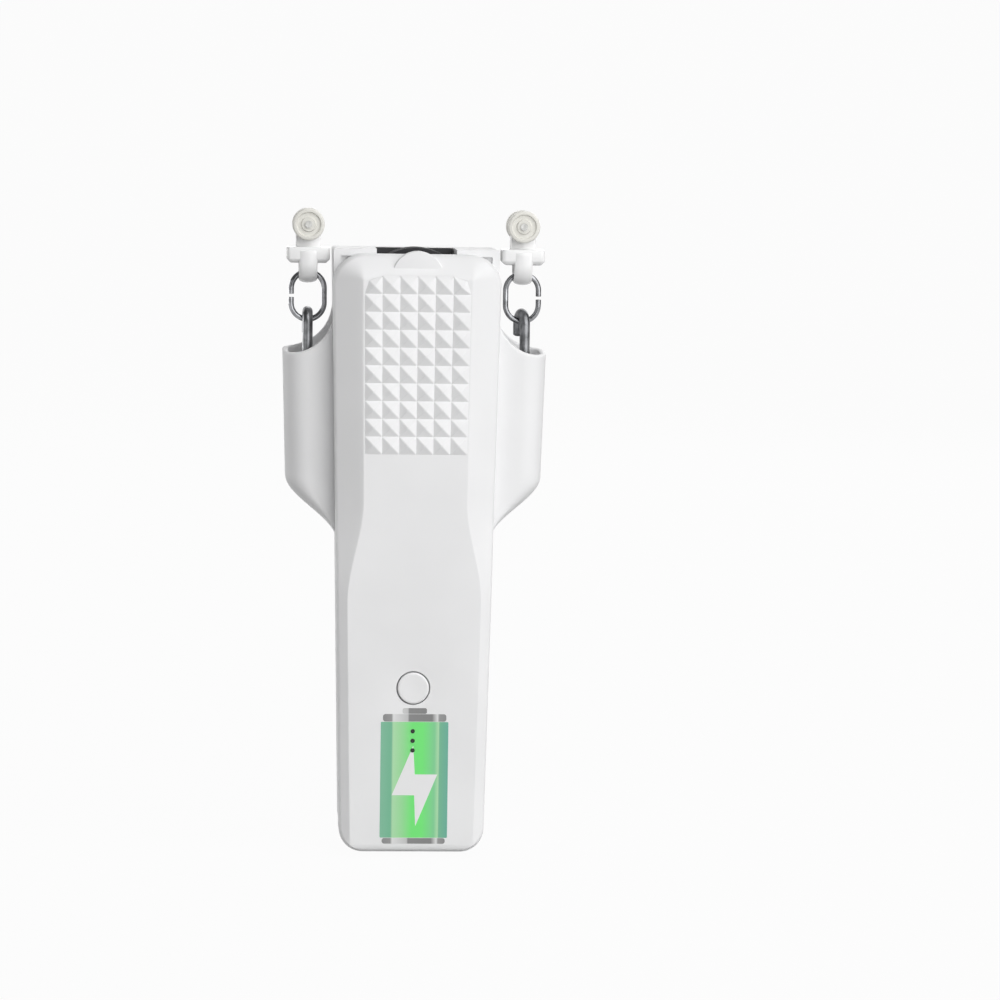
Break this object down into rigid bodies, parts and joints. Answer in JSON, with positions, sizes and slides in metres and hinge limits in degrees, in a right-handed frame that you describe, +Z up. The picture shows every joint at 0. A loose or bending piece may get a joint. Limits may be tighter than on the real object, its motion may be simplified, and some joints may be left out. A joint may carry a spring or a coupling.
{
  "type": "smart curtain robot",
  "caption": "Slim white motor unit that hangs under a curtain rail on sprung hooks and drives along it with a rubber wheel, with a push button and light points.",
  "frame": {"origin": "where the drive wheel's top meets the underside of the rail, midway between the hooks", "axes": "+X along the rail to the right as seen from the front, front faces -Y, +Z up"},
  "size_m": [0.0742, 0.0402, 0.1796],
  "materials": {
    "white_shell": "fine satin white ABS",
    "runner_white": "smooth white acetal",
    "nylon": "natural nylon",
    "black_rubber": "grooved rubber",
    "black_plastic": "black ABS",
    "grey_plastic": "grey ABS",
    "smoked_plastic": "smoked clear",
    "led_green": "green LED lens",
    "board_green": "solder mask",
    "cell_wrap": "shrink wrap",
    "zinc_steel": "zinc plated",
    "dark_steel": "worn steel wire",
    "bright_steel": "nickel plated wire",
    "brass": "plain"
  },
  "bodies": {
    "housing": {"front_cover": "white_shell", "grip_pad": "white_shell", "rear_housing": "white_shell", "pocket_left": "white_shell", "pocket_right": "white_shell", "cover_screws": "zinc_steel", "tact_switch": "black_plastic", "light_pipe": "smoked_plastic", "status_leds": "led_green", "main_board": "board_green", "radio_module": "zinc_steel", "board_screws": "zinc_steel", "usb_socket": "zinc_steel", "battery_cells": "cell_wrap", "battery_cradle": "black_plastic", "cell_contacts": "brass", "gear_case": "grey_plastic", "gear_lid": "black_plastic", "wheel_fork": "grey_plastic", "fork_screws": "zinc_steel", "rear_bush": "brass", "front_bush": "brass", "motor_can": "zinc_steel", "gear_head": "zinc_steel", "idler_pin": "zinc_steel", "hook_spring_left": "zinc_steel", "hook_spring_right": "zinc_steel"},
    "button": {"button": "white_shell"},
    "drive_wheel": {"wheel_tyre": "black_rubber", "wheel_hub": "black_plastic", "drive_shaft": "zinc_steel", "wheel_gear": "nylon"},
    "idler": {"idler_gear": "nylon"},
    "motor_output": {"motor_shaft": "zinc_steel", "pinion": "brass"},
    "hook_left": {"hook_left": "dark_steel", "hook_nut_left": "zinc_steel"},
    "link_left": {"link_left": "bright_steel"},
    "runner_left": {"runner_left": "runner_white"},
    "rollers_left": {"rollers_left": "nylon", "roller_axle_left": "zinc_steel"},
    "hook_right": {"hook_right": "dark_steel", "hook_nut_right": "zinc_steel"},
    "link_right": {"link_right": "bright_steel"},
    "runner_right": {"runner_right": "runner_white"},
    "rollers_right": {"rollers_right": "nylon", "roller_axle_right": "zinc_steel"}
  },
  "joints": [
    {"name": "wheel_spin", "type": "hinge", "parent": "housing", "child": "drive_wheel", "pos_m": [0, 0, -0.016], "axis": [0, 1, 0], "continuous": true},
    {"name": "idler_spin", "type": "hinge", "parent": "housing", "child": "idler", "pos_m": [0, 0, -0.039], "axis": [0, 1, 0], "continuous": true},
    {"name": "motor_spin", "type": "hinge", "parent": "housing", "child": "motor_output", "pos_m": [0, 0, -0.058], "axis": [0, 1, 0], "continuous": true},
    {"name": "button_press", "type": "slide", "parent": "housing", "child": "button", "axis": [0, 1, 0], "range_m": [0, 0.0006], "stiffness_N_per_m": 1500, "springref_m": -0.0003},
    {"name": "hook_slide_left", "type": "slide", "parent": "housing", "child": "hook_left", "axis": [0, 0, 1], "range_m": [0, 0.006], "stiffness_N_per_m": 400, "springref_m": -0.004, "deforming": ["hook_spring_left"]},
    {"name": "link_swing_left", "type": "hinge", "parent": "hook_left", "child": "link_left", "pos_m": [-0.0302, 0, -0.02063], "axis": [1, 0, 0], "range_deg": [-20, 20]},
    {"name": "runner_swing_left", "type": "hinge", "parent": "link_left", "child": "runner_left", "pos_m": [-0.0302, 0, -0.00728], "axis": [1, 0, 0], "range_deg": [-20, 20]},
    {"name": "roller_spin_left", "type": "hinge", "parent": "runner_left", "child": "rollers_left", "pos_m": [-0.0302, 0, 0.0061], "axis": [0, 1, 0], "continuous": true},
    {"name": "hook_slide_right", "type": "slide", "parent": "housing", "child": "hook_right", "axis": [0, 0, 1], "range_m": [0, 0.006], "stiffness_N_per_m": 400, "springref_m": -0.004, "deforming": ["hook_spring_right"]},
    {"name": "link_swing_right", "type": "hinge", "parent": "hook_right", "child": "link_right", "pos_m": [0.0302, 0, -0.02063], "axis": [1, 0, 0], "range_deg": [-20, 20]},
    {"name": "runner_swing_right", "type": "hinge", "parent": "link_right", "child": "runner_right", "pos_m": [0.0302, 0, -0.00728], "axis": [1, 0, 0], "range_deg": [-20, 20]},
    {"name": "roller_spin_right", "type": "hinge", "parent": "runner_right", "child": "rollers_right", "pos_m": [0.0302, 0, 0.0061], "axis": [0, 1, 0], "continuous": true}
  ],
  "couplings": [
    {"joint": "idler_spin", "follows": "wheel_spin", "ratio": -0.76923},
    {"joint": "motor_spin", "follows": "wheel_spin", "ratio": 1.6667}
  ]
}
